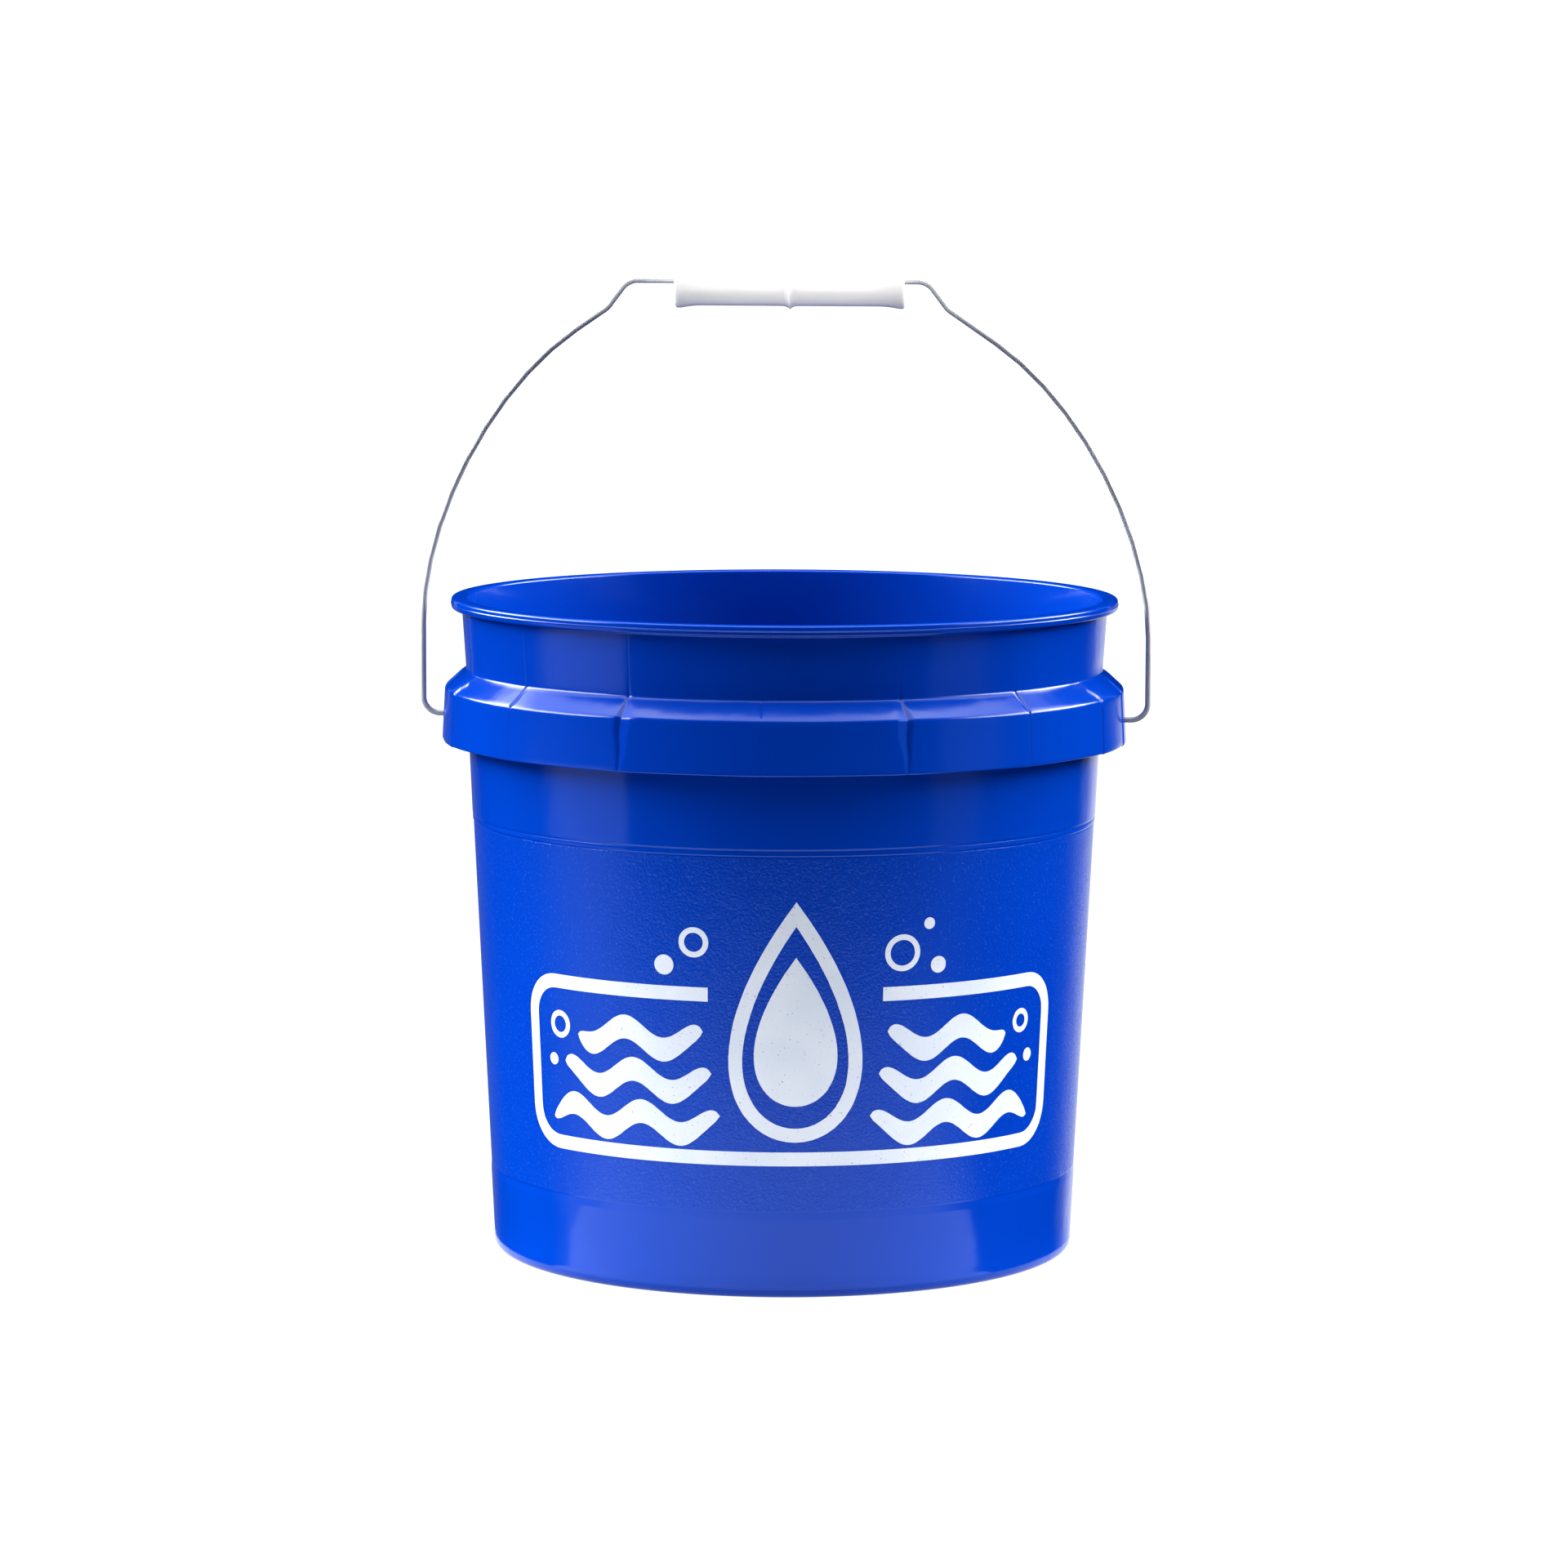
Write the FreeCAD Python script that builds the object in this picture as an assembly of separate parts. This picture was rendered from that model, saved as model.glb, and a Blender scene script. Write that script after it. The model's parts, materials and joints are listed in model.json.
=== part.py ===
"""Two-gallon wash bucket: a one-piece moulded pail, a bent wire bail and a loose tubular grip.

Frame: millimetres, +Z up, origin at the centre of the foot. The bail's two ears are on the
X axis, so the bail swings about a line along X and the grip runs along X above the mouth.
"""
import FreeCAD, Part
import math
import os

V = FreeCAD.Vector
X_AXIS = V(1, 0, 0)
Z_AXIS = V(0, 0, 1)
ORIGIN = V(0, 0, 0)

# --- Driving dimensions: pail -------------------------------------------------------------
foot_radius = 106.2          # outside of the wall, carried down to the foot
foot_corner = 3.0            # rounding between wall and foot
draft = 0.050                # growth of the wall's radius for each mm of height
wall = 1.9                   # wall thickness, the same everywhere
floor_lift = 3.0             # the floor is raised, so the pail stands on a ring
floor_thickness = 2.2
foot_ring_width = 5.0
heel_radius = 5.0            # inside rounding between floor and wall

neck_foot_height = 213.0     # where the shoulder meets the neck
neck_foot_radius = 116.4
neck_top_height = 235.5      # underside of the rim
neck_top_radius = 117.9

rim_radius = 122.0           # outside of the rim bead
rim_height = 239.4           # top of the pail
rim_bead = 1.9               # rounding of the bead's outer edge
rim_inner_round = 1.6

# --- Driving dimensions: collar, the hanging skirt round the pail -------------------------
collar_bottom = 187.2
collar_bottom_radius = 124.7
collar_top = 206.4           # where the face turns into the shoulder
collar_top_radius = 123.7
collar_round = 1.6
web_spacing = 24.0           # degrees between the stiffening webs behind the collar
last_web_angle = 70.5        # the last web before each ear, counted from the front or the back
web_thickness = 1.4
web_bottom = 189.6

# --- Driving dimensions: ears, where the bail hooks in ------------------------------------
pivot_height = 195.2
ear_pad_rise = 0.6           # raised pad on the collar's face
ear_pad_half_width = 12.0
ear_boss_radius = 5.5        # thickening behind the collar
ear_boss_inner_x = 121.3
ear_clearance = 0.10         # radial, wire in ear hole

# --- Driving dimensions: bail -------------------------------------------------------------
wire_radius = 1.015          # 14 gauge wire
bail_half_width = 133.0
bail_height = 159.1          # straight top run above the pivot
ear_bend = 6.0               # bend from the ear up into the leg
hook_x = 118.6               # centre of the short hooked end behind the collar
hook_bend = 2.4
hook_top = 203.4
bow_radius = 130.0           # the long curve from leg to shoulder
bow_slope = 34.6             # fall of the straight shoulder, in degrees
kink_drop = 10.0             # step down beside the grip, which keeps the grip in the middle
kink_run = 7.5
kink_bend = 6.5
kink_left_x = 57.5           # where each step down begins, measured from the middle
kink_right_x = 51.5

# --- Driving dimensions: grip -------------------------------------------------------------
grip_length = 83.6
grip_centre_x = 1.6          # it slides a little on the wire
grip_radius = 6.25
grip_flare_radius = 7.05
grip_flare_length = 7.0
grip_end_land = 2.2
grip_ring_radius = 7.4       # thin rib round the middle
grip_ring_half_base = 3.2
grip_ring_half_tip = 0.35
grip_bore_radius = 3.9
grip_wire_gap = 0.05         # between the wire and the top of the bore it hangs from


def wall_radius(z):
    """Outside radius of the tapered wall below the neck."""
    return foot_radius + draft * z


def neck_radius(z):
    """Outside radius of the neck, between the shoulder and the rim."""
    rise = (z - neck_foot_height) / (neck_top_height - neck_foot_height)
    return neck_foot_radius + rise * (neck_top_radius - neck_foot_radius)


def rounded_path(points, radii, closed=False):
    """A wire of straight runs; radii[i] rounds the corner at points[i] with a tangent arc."""
    count = len(points)
    starts, ends, middles = [], [], []
    for i, corner in enumerate(points):
        if radii[i] == 0:
            starts.append(corner)
            ends.append(corner)
            middles.append(None)
            continue
        back = (points[i - 1] - corner).normalize()
        onward = (points[(i + 1) % count] - corner).normalize()
        half = back.getAngle(onward) / 2
        reach = radii[i] / math.tan(half)
        to_centre = (back + onward).normalize()
        centre = corner + to_centre * (radii[i] / math.sin(half))
        starts.append(corner + back * reach)
        ends.append(corner + onward * reach)
        middles.append(centre - to_centre * radii[i])
    edges = []
    for i in range(count):
        if middles[i] is not None:
            edges.append(Part.Arc(starts[i], middles[i], ends[i]).toShape())
        following = (i + 1) % count
        if following == 0 and not closed:
            break
        if ends[i].distanceToPoint(starts[following]) > 1e-6:
            edges.append(Part.LineSegment(ends[i], starts[following]).toShape())
    return Part.Wire(edges)


def section(corners):
    """A face in the XZ plane from (radius, height, rounding) corners."""
    points = [V(radius, 0, height) for radius, height, rounding in corners]
    radii = [rounding for radius, height, rounding in corners]
    return Part.Face(rounded_path(points, radii, closed=True))


def turned(corners, sweep=360):
    """The solid that the section makes when it is turned about the pail's axis."""
    return section(corners).revolve(ORIGIN, Z_AXIS, sweep)


def pail_body():
    """Floor, tapered wall, neck and rim, all one thickness."""
    ring_inner = foot_radius - foot_corner - foot_ring_width
    floor_top = floor_lift + floor_thickness
    rim_inner = neck_top_radius - wall
    return turned([
        (0, floor_lift, 0),
        (ring_inner - floor_lift, floor_lift, 0.8),
        (ring_inner, 0, 0.8),
        (foot_radius, 0, foot_corner),
        (wall_radius(collar_top), collar_top, 0),
        (neck_foot_radius, neck_foot_height, 0),
        (neck_top_radius, neck_top_height, 0.6),
        (rim_radius, neck_top_height, rim_bead),
        (rim_radius, rim_height, rim_bead),
        (rim_inner, rim_height, rim_inner_round),
        (neck_foot_radius - wall, neck_foot_height, 0),
        (wall_radius(floor_top) - wall, floor_top, heel_radius),
        (0, floor_top, 0),
    ])


def collar_corners(rise=0.0):
    """Outer line of neck foot, shoulder and collar face, standing out by rise."""
    return [
        (neck_foot_radius - wall / 2, neck_foot_height + 2.0 + rise, 0),
        (neck_foot_radius + rise * 0.4, neck_foot_height + rise, 0.5),
        (collar_top_radius + rise, collar_top + rise, collar_round),
        (collar_bottom_radius + rise, collar_bottom, 0.5),
    ]


def collar():
    """Sloping shoulder and the skirt that hangs from it, open underneath."""
    inner_top = collar_top - wall * 0.7
    return turned(collar_corners() + [
        (collar_bottom_radius - wall, collar_bottom, 0.5),
        (collar_top_radius - wall, inner_top, 1.0),
        (neck_foot_radius - wall / 2, neck_foot_height - wall * 1.35, 0),
    ])


def web(angle):
    """One upright web between wall and collar, in the plane at this angle from the X axis."""
    bite = wall / 2
    outline = [
        V(wall_radius(web_bottom) - bite, 0, web_bottom),
        V(collar_bottom_radius - bite, 0, web_bottom),
        V(collar_top_radius - bite, 0, collar_top - 1.0),
        V(neck_foot_radius - bite, 0, neck_foot_height - bite),
    ]
    plate = Part.Face(Part.makePolygon(outline + outline[:1])).extrude(V(0, web_thickness, 0))
    plate.translate(V(0, -web_thickness / 2, 0))
    plate.rotate(ORIGIN, Z_AXIS, angle)
    return plate


def ear(side):
    """Raised pad outside and round boss inside, at the +X (side=1) or -X (side=-1) ear."""
    half_angle = math.degrees(math.asin(ear_pad_half_width / collar_top_radius))
    inner = [
        (collar_bottom_radius - wall / 2, collar_bottom, 0),
        (collar_top_radius - wall / 2, collar_top - wall / 2, 0),
        (neck_foot_radius - wall / 2, neck_foot_height - wall / 2, 0),
    ]
    pad = turned(collar_corners(ear_pad_rise) + inner, 2 * half_angle)
    pad.rotate(ORIGIN, Z_AXIS, -half_angle)
    boss_length = collar_top_radius - ear_boss_inner_x
    boss = Part.makeCylinder(ear_boss_radius, boss_length, V(ear_boss_inner_x, 0, pivot_height), X_AXIS)
    both = pad.fuse(boss)
    if side < 0:
        both.rotate(ORIGIN, Z_AXIS, 180)
    return both


def bucket_shell():
    """The moulded pail: body, collar, webs and ears, with the two bail holes."""
    spread = [0, web_spacing, 2 * web_spacing, last_web_angle]
    from_middle = sorted(set(spread + [-angle for angle in spread]))
    webs = [web(middle + angle) for middle in (-90, 90) for angle in from_middle]
    shell = pail_body().fuse([collar(), ear(1), ear(-1)] + webs)
    hole_radius = wire_radius + ear_clearance
    hole_length = 2 * rim_radius + 20
    holes = Part.makeCylinder(hole_radius, hole_length, V(-hole_length / 2, 0, pivot_height), X_AXIS)
    inside = Part.makeCylinder(hole_radius + 1, 2 * hook_x, V(-hook_x, 0, pivot_height), X_AXIS)
    return shell.cut(holes.cut(inside)).removeSplitter()


def bail_side(side, kink_x):
    """Corners and bend radii of one half of the bail, from the grip run out to its hook."""
    top = pivot_height + bail_height
    kink_foot_x = kink_x + kink_run
    kink_foot = top - kink_drop
    bow_corner = kink_foot - math.tan(math.radians(bow_slope)) * (bail_half_width - kink_foot_x)
    corners = [
        (kink_x, top, kink_bend),
        (kink_foot_x, kink_foot, kink_bend),
        (bail_half_width, bow_corner, bow_radius),
        (bail_half_width, pivot_height, ear_bend),
        (hook_x, pivot_height, hook_bend),
        (hook_x, hook_top, 0),
    ]
    points = [V(side * x, 0, z) for x, z, bend in corners]
    return points, [bend for x, z, bend in corners]


def bail_wire():
    """One length of round wire along the bail's line."""
    left_points, left_radii = bail_side(-1, kink_left_x)
    right_points, right_radii = bail_side(1, kink_right_x)
    path = rounded_path(left_points[::-1] + right_points, left_radii[::-1] + right_radii)
    ring = Part.Wire(Part.makeCircle(wire_radius, left_points[-1], Z_AXIS))
    rod = path.makePipeShell([ring], True, False)
    expected = math.pi * wire_radius ** 2 * path.Length
    print("bail length %.1f, volume %.0f of %.0f" % (path.Length, rod.Volume, expected))
    return rod


def bail_grip():
    """Tube with flared ends and a thin middle rib, hanging from the wire by its bore."""
    half = grip_length / 2
    body = half - grip_flare_length
    land = half - grip_end_land
    outline = [
        (-half, grip_bore_radius, 0.5),
        (-half, grip_flare_radius, 0.6),
        (-land, grip_flare_radius, 3.0),
        (-body, grip_radius, 6.0),
        (-grip_ring_half_base, grip_radius, 3.0),
        (-grip_ring_half_tip, grip_ring_radius, 0),
        (grip_ring_half_tip, grip_ring_radius, 0),
        (grip_ring_half_base, grip_radius, 3.0),
        (body, grip_radius, 6.0),
        (land, grip_flare_radius, 3.0),
        (half, grip_flare_radius, 0.6),
        (half, grip_bore_radius, 0.5),
    ]
    points = [V(x, 0, radius) for x, radius, rounding in outline]
    radii = [rounding for x, radius, rounding in outline]
    tube = Part.Face(rounded_path(points, radii, closed=True)).revolve(ORIGIN, X_AXIS, 360)
    hang = grip_bore_radius - wire_radius - grip_wire_gap
    tube.translate(V(grip_centre_x, 0, pivot_height + bail_height - hang))
    return tube


os.makedirs("parts", exist_ok=True)
pieces = {
    "bucket_shell": bucket_shell(),
    "bail_wire": bail_wire(),
    "bail_grip": bail_grip(),
}
for name, shape in pieces.items():
    solids = shape.Solids
    if len(solids) != 1 or not shape.isValid():
        raise RuntimeError("%s has %d solids, valid %s" % (name, len(solids), shape.isValid()))
    solids[0].exportStep("parts/%s.step" % name)
    box = shape.BoundBox
    print("%s: volume %.0f mm3, height %.1f to %.1f" % (name, shape.Volume, box.ZMin, box.ZMax))
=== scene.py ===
# %% [markdown]
# # A two-gallon wash bucket
#
# The bucket is a blue moulded pail with a hanging collar, a bent wire bail and a loose white
# grip. The CAD frame already holds their sizes, places and joints. This notebook builds the
# finished surfaces round that frame: every piece is placed from the frame, and it rides on the
# body that carries it, so the bail can swing and the grip can turn.

# %% Load the frame
import json
import math

import bpy
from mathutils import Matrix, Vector

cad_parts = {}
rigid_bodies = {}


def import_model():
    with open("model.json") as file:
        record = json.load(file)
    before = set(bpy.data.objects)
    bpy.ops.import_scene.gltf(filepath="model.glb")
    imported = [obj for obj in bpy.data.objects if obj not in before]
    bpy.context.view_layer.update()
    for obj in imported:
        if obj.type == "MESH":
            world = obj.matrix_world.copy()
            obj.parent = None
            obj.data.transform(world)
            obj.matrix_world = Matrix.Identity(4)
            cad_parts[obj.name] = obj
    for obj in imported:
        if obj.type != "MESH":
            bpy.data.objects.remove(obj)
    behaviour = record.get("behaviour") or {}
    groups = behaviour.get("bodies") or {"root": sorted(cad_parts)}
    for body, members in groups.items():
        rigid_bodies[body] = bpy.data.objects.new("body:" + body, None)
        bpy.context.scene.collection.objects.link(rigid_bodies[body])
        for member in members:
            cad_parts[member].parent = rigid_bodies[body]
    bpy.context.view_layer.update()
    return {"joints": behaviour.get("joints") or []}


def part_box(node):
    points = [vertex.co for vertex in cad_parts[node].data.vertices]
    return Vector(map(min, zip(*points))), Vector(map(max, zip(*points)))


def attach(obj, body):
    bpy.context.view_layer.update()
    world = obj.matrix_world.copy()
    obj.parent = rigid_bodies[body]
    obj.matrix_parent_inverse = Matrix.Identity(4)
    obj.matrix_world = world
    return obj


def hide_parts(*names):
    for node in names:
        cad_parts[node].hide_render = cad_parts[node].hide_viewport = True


bpy.ops.object.select_all(action="SELECT")
bpy.ops.object.delete()
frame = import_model()
mm = 0.001

# %% [markdown]
# ## Sizes
#
# The pail is a tapered tube with a floor, so its sizes are radii and heights. The frame gives
# the outermost ones: the collar, the rim height, the line that the bail swings about. The
# others are the mould's own sizes, close to the ones that the CAD shell is made from.

# %% Sizes of the pail
shell_low, shell_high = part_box("bucket_shell")
rim_height = shell_high.z
collar_bottom_radius = -shell_low.y
joints = {joint["name"]: joint for joint in frame["joints"]}
pivot_height = joints["bail_swing"]["pos_m"][2]

foot_radius = 106.2 * mm
draft = 0.050
wall = 1.9 * mm
floor_lift = 3.0 * mm
floor_top = 5.2 * mm
neck_foot = Vector((116.4, 213.0)) * mm
neck_top = Vector((117.9, 235.5)) * mm
rim_radius = 122.0 * mm
collar_bottom = 187.2 * mm
collar_top = 206.4 * mm
collar_top_radius = collar_bottom_radius - 1.0 * mm
step_height = 31.0 * mm
lines_height = 158.0 * mm
print("rim", round(rim_height / mm, 1), "pivot", round(pivot_height / mm, 1))


def along(low, high, t):
    """The value a part t of the way from low to high."""
    return low + (high - low) * t


def wall_at(height):
    """Outside of the tapered wall, which goes on behind the skirt."""
    return foot_radius + draft * height


def skin_radius(height):
    """Outside of the pail at a height: tapered wall, collar face, shoulder or neck."""
    if height < collar_bottom:
        return wall_at(height)
    if height < collar_top:
        t = (height - collar_bottom) / (collar_top - collar_bottom)
        return along(collar_bottom_radius, collar_top_radius, t)
    if height < neck_foot.y:
        t = (height - collar_top) / (neck_foot.y - collar_top)
        return along(collar_top_radius, neck_foot.x, t)
    t = (height - neck_foot.y) / (neck_top.y - neck_foot.y)
    return along(neck_foot.x, neck_top.x, t)


# %% [markdown]
# ## Working by hand, in code
#
# Operators act on what is selected, so a few helpers keep the selection clean. The most used
# one draws a chain of corners by extruding a single point, which is how an outline is drawn by
# hand. Rounded corners are then beveled into the chain.

# %% Helpers for operators
def start():
    """Nothing selected, in object mode."""
    if bpy.context.object and bpy.context.object.mode != "OBJECT":
        bpy.ops.object.mode_set(mode="OBJECT")
    bpy.ops.object.select_all(action="DESELECT")


def pick(*objs):
    """Only these objects are selected, and the last one is active."""
    start()
    for obj in objs:
        obj.select_set(True)
        bpy.context.view_layer.objects.active = obj


def edit(obj, wanted=None, kind="VERT"):
    """Edit mode on obj, with the vertices, edges or faces selected for which wanted is true."""
    pick(obj)
    mesh = obj.data
    for items in (mesh.vertices, mesh.edges, mesh.polygons):
        items.foreach_set("select", [False] * len(items))
    if wanted:
        items = {"VERT": mesh.vertices, "EDGE": mesh.edges, "FACE": mesh.polygons}[kind]
        items.foreach_set("select", [bool(wanted(item)) for item in items])
    bpy.ops.object.mode_set(mode="EDIT")
    bpy.ops.mesh.select_mode(type=kind)


def edit_all(obj):
    """Edit mode on obj with everything selected."""
    edit(obj)
    bpy.ops.mesh.select_all(action="SELECT")


def done():
    """Back to object mode."""
    bpy.ops.object.mode_set(mode="OBJECT")


def apply_modifier(obj, kind, **settings):
    """Adds a modifier with these settings and applies it."""
    pick(obj)
    bpy.ops.object.modifier_add(type=kind)
    modifier = obj.modifiers[-1]
    for name, value in settings.items():
        setattr(modifier, name, value)
    bpy.ops.object.modifier_apply(modifier=modifier.name)


def draw_chain(name, points):
    """One point extruded from place to place."""
    start()
    bpy.ops.mesh.primitive_plane_add(size=mm, location=(0, 0, 0))
    obj = bpy.context.object
    obj.name = obj.data.name = name
    edit_all(obj)
    bpy.ops.mesh.merge(type="CENTER")
    bpy.ops.transform.translate(value=points[0])
    for here, there in zip(points, points[1:]):
        step = {"value": there - here}
        bpy.ops.mesh.extrude_vertices_move(TRANSFORM_OT_translate=step)
    done()
    return obj


def round_corners(obj, points, radii, turn_per_edge=18):
    """Bevels each corner that has a radius; the bevel starts where the arc leaves its run."""
    for before, corner, after, radius in zip(points, points[1:], points[2:], radii[1:]):
        if radius == 0:
            continue
        turn = (corner - before).angle(after - corner)
        edit(obj, lambda v: (v.co - corner).length < 0.01 * mm)
        reach = radius * math.tan(turn / 2)
        count = max(2, math.ceil(math.degrees(turn) / turn_per_edge))
        bpy.ops.mesh.bevel(offset=reach, segments=count, affect="VERTICES")
        done()


def split_edges(obj, longest):
    """Cuts edges into equal lengths, none longer than longest(middle) says."""
    mesh = obj.data

    def cuts(edge):
        a, b = (mesh.vertices[i].co for i in edge.vertices)
        return int((a - b).length / longest((a + b) / 2))

    for number in sorted({cuts(edge) for edge in mesh.edges} - {0}):
        edit(obj, lambda edge: cuts(edge) == number, "EDGE")
        bpy.ops.mesh.subdivide(number_cuts=number)
        done()


def outward(obj, smooth_degrees=30):
    """Merges doubled points, points all faces outwards and smooths the soft edges."""
    edit_all(obj)
    bpy.ops.mesh.remove_doubles(threshold=0.002 * mm)
    bpy.ops.mesh.normals_make_consistent(inside=False)
    done()
    pick(obj)
    bpy.ops.object.shade_smooth_by_angle(angle=math.radians(smooth_degrees))


def count_faces(obj):
    """Prints how many triangles a finished piece has."""
    triangles = sum(len(face.vertices) - 2 for face in obj.data.polygons)
    print(obj.name, "triangles:", triangles)


# %% [markdown]
# ## The pail's outline
#
# The pail is one injection moulding. Everything on it that goes right round can be read off
# one cut through the wall: foot ring, floor, taper, the collar that hangs outside like a
# skirt, the neck, the half-round rim. A tube pushed and pulled ring by ring would also do, but
# an outline that is drawn once and turned keeps every rounding a true arc.

# %% Draw the outline
def pail_corners():
    """(radius, height, rounding) in mm from under the floor, over the rim, to the floor."""
    step, lines = step_height / mm, lines_height / mm
    under, inside = floor_lift / mm, floor_top / mm

    def out(height, proud=0.0):
        return wall_at(height * mm) / mm + proud

    bottom, top = collar_bottom / mm, collar_top / mm
    skirt_low, skirt_high = collar_bottom_radius / mm, collar_top_radius / mm
    thick = wall / mm
    rim_top, rim_out = rim_height / mm, rim_radius / mm
    neck_low, neck_low_z = neck_foot / mm
    neck_high, neck_high_z = neck_top / mm
    return [
        (0, under + 0.5, 0), (2.2, under + 0.5, 0.3), (2.6, under, 0.2),
        (95.1, under, 0.8), (98.2, 0, 0.8), (out(0, 0.15), 0, 3.0),
        (out(4.9, 0.15), 4.9, 0), (out(5.5), 5.5, 0),
        (out(step - 2.6), step - 2.6, 0.6), (out(step, -0.25), step, 0.6),
        (out(lines, -0.25), lines, 0), (out(lines + 0.4, -0.05), lines + 0.4, 0),
        (out(lines + 1.6, -0.05), lines + 1.6, 0), (out(lines + 1.9, -0.15), lines + 1.9, 0),
        (out(lines + 2.4, -0.12), lines + 2.4, 0), (out(lines + 2.7), lines + 2.7, 0),
        (out(top), 209.4, 1.0), (skirt_high - thick, top - 1.2, 1.0),
        (skirt_low - thick, bottom, 0.45), (skirt_low, bottom, 0.6),
        (skirt_high, top, 1.7), (neck_low, neck_low_z, 1.2),
        (neck_high, neck_high_z, 0.7),
        (rim_out - 0.25, neck_high_z, 0.9), (rim_out - 0.2, 237.1, 0),
        (rim_out, 237.4, 0), (rim_out - 0.2, 237.7, 0), (rim_out - 0.3, rim_top, 0.9),
        (neck_high - thick, rim_top, 0.9), (neck_low - thick, neck_low_z, 0),
        (out(inside) - thick, inside, 5.0), (0, inside, 0),
    ]


def row_height(middle):
    """Longest edge wanted in the outline: short where the marks are, long on the plain wall."""
    if middle.x < skin_radius(middle.z) - 1.2 * mm or middle.z < collar_bottom:
        return 16 * mm
    return 1.6 * mm if middle.z < neck_foot.y + 2 * mm else 4 * mm


corners = [Vector((radius, 0, height)) * mm for radius, height, _ in pail_corners()]
roundings = [rounding * mm for _, _, rounding in pail_corners()]
pail = draw_chain("pail", corners)
round_corners(pail, corners, roundings)
split_edges(pail, row_height)
print("outline points:", len(pail.data.vertices))

# %% [markdown]
# ## Turning the outline
#
# Spin turns the outline about the pail's axis. The moulding has upright marks where the webs
# behind the collar pull the plastic in, and two parting lines, so the columns of faces have to
# be close together there and can be wide between. The marks are the same in all four quarters:
# one quarter is spun with uneven steps, and a Mirror modifier makes the other three.

# %% Spin a quarter and mirror it
mark_angles = [0.0, 24.0, 48.0, 70.5]
ear_pad_half_width = 12.0 * mm
widest_column = 1.7


def column_angles():
    """Angles of the columns in one quarter, from the front (0) to the ear (90), in degrees."""
    degree = math.degrees(mm / collar_bottom_radius)
    beside_mark = [0, 0.25, 0.5, 0.8, 1.2, 1.7, 2.3, 3.0, 3.8, 4.6]
    beside_pad = [0, 0.4, 0.8, 1.3]
    pad_edge = math.degrees(math.asin(ear_pad_half_width / collar_bottom_radius))
    close = {90.0}
    for angle in mark_angles:
        close |= {angle + side * away * degree for away in beside_mark for side in (-1, 1)}
    close |= {90 - pad_edge + side * away * degree for away in beside_pad for side in (-1, 1)}
    close = sorted(angle for angle in close if 0 <= angle <= 90)
    filled = [close[0]]
    for angle in close[1:]:
        parts = math.ceil((angle - filled[-1]) / widest_column)
        filled += [along(filled[-1], angle, (k + 1) / parts) for k in range(parts)]
    return filled


angles = column_angles()
edit_all(pail)
quarter_turn = math.radians(90)
bpy.ops.transform.rotate(value=quarter_turn, orient_axis="Z", center_override=(0, 0, 0))
for here, there in zip(angles, angles[1:]):
    turn = math.radians(there - here)
    bpy.ops.mesh.spin(steps=1, angle=-turn, center=(0, 0, 0), axis=(0, 0, 1))
done()
apply_modifier(pail, "MIRROR", use_axis=(True, True, False), merge_threshold=0.005 * mm)
outward(pail, 20)
print("columns in a quarter:", len(angles))
count_faces(pail)

# %% [markdown]
# ## Marks of the mould
#
# Behind the collar stand fourteen thin webs. The plastic is thickest where a web meets the
# skin, it cools last there, and it sinks: each web shows outside as a groove. The one next to
# the middle is a wide V, steeper on one side, and at 48 degrees runs the parting line of the
# mould. Round each ear the face is a raised panel. Carving this by hand would be never-ending,
# and a bump in the material wouldn't catch the light at the edge. So each depth is painted as a
# weight, and a Displace modifier pushes the skin by it.

# %% Weigh the sunk and the raised places
# height, half width and depth of each groove, in mm, from the collar's lip to the rim
grooves = {
    0.0: [(187, 0.6, 0.07), (205, 0.7, 0.07), (208, 1.2, 0.2), (212, 1.2, 0.2), (215, 0.5, 0.0)],
    24.0: [(187, 0.8, 0.16), (203, 4.3, 0.8), (207, 4.4, 0.75), (212, 1.6, 0.28), (215, 0.5, 0.03),
           (235, 0.5, 0.03)],
    48.0: [(187, 0.5, 0.16), (205, 0.6, 0.18), (207, 1.7, 0.45), (212, 1.5, 0.38),
           (215, 0.45, 0.09), (235, 0.45, 0.09)],
    70.5: [(187, 0.8, 0.2), (205, 0.8, 0.2), (207, 1.5, 0.3), (213, 1.5, 0.3), (215, 0.6, 0.08),
           (235, 0.6, 0.08)],
}
ear_panel_arch = 3.5
groove_wobble, wobble_length, wobble_shift = 0.25 * mm, 2.1 * mm, 1.9
steep_side = 0.45
collar_dip, neck_dip = 0.2 * mm, 0.28 * mm
panel_proud, pad_proud = 0.25, 0.33


def soft_step(value, low, high):
    """0 up to low, 1 from high on, smooth between."""
    t = min(max((value - low) / (high - low), 0), 1)
    return t * t * (3 - 2 * t)


def station(height, stations):
    """Half width and depth of a groove at a height, in metres."""
    last = stations[0]
    for here in stations:
        if here[0] * mm >= height:
            if here is last:
                return here[1] * mm, here[2] * mm
            t = (height / mm - last[0]) / (here[0] - last[0])
            return along(last[1], here[1], t) * mm, along(last[2], here[2], t) * mm
        last = here
    return last[1] * mm, last[2] * mm


def folded(point):
    """Angle from the nearer of front and back, in degrees, and the distance from the axis."""
    return math.degrees(math.atan2(abs(point.x), abs(point.y))), point.xy.length


def on_skin(point):
    """True for the collar's face, the shoulder and the neck, outside only."""
    outside = point.xy.length > skin_radius(point.z) - 1.2 * mm
    return outside and collar_bottom - mm < point.z < neck_top.y


def panel_line(mark, height):
    """Angle of a mark at a height; the last one leans back over the shoulder."""
    if mark == mark_angles[-1]:
        return mark - ear_panel_arch * soft_step(height, collar_top, neck_foot.y)
    return mark


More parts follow.
